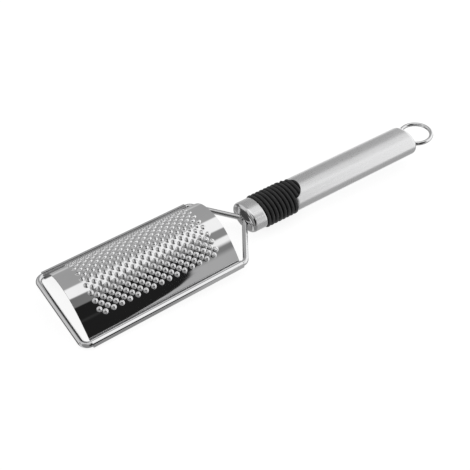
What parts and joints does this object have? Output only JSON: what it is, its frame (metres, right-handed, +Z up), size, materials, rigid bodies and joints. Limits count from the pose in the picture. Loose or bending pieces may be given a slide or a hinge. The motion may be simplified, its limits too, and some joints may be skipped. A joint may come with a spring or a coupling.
{
  "type": "hand grater",
  "caption": "Hand grater: arched pierced steel blade rolled onto a bent wire frame, oval steel handle with a ribbed rubber grip and a wire hanging loop.",
  "frame": {"origin": "centre of the overall box, on the surface that the grater lies on", "axes": "+X along the tool from the tip wire to the hanging loop, +Z up with the arch of the blade on top"},
  "size_m": [0.2784, 0.0648, 0.0266],
  "materials": {
    "blade_steel": "mirror polished stainless sheet",
    "wire_steel": "polished stainless wire",
    "ferrule_steel": "satin stainless steel",
    "plug_steel": "plain steel",
    "core_steel": "plain drawn steel",
    "grip_rubber": "matt black moulded rubber",
    "tube_steel": "satin stainless steel",
    "ring_steel": "polished stainless wire",
    "anchor_steel": "plain steel"
  },
  "bodies": {
    "root": {"grater_blade": "blade_steel", "frame_wire": "wire_steel", "front_ferrule": "ferrule_steel", "tang_plug": "plug_steel", "core_tube": "core_steel", "grip_sleeve": "grip_rubber", "handle_tube": "tube_steel", "hanging_ring": "ring_steel", "ring_anchor": "anchor_steel"}
  },
  "joints": []
}
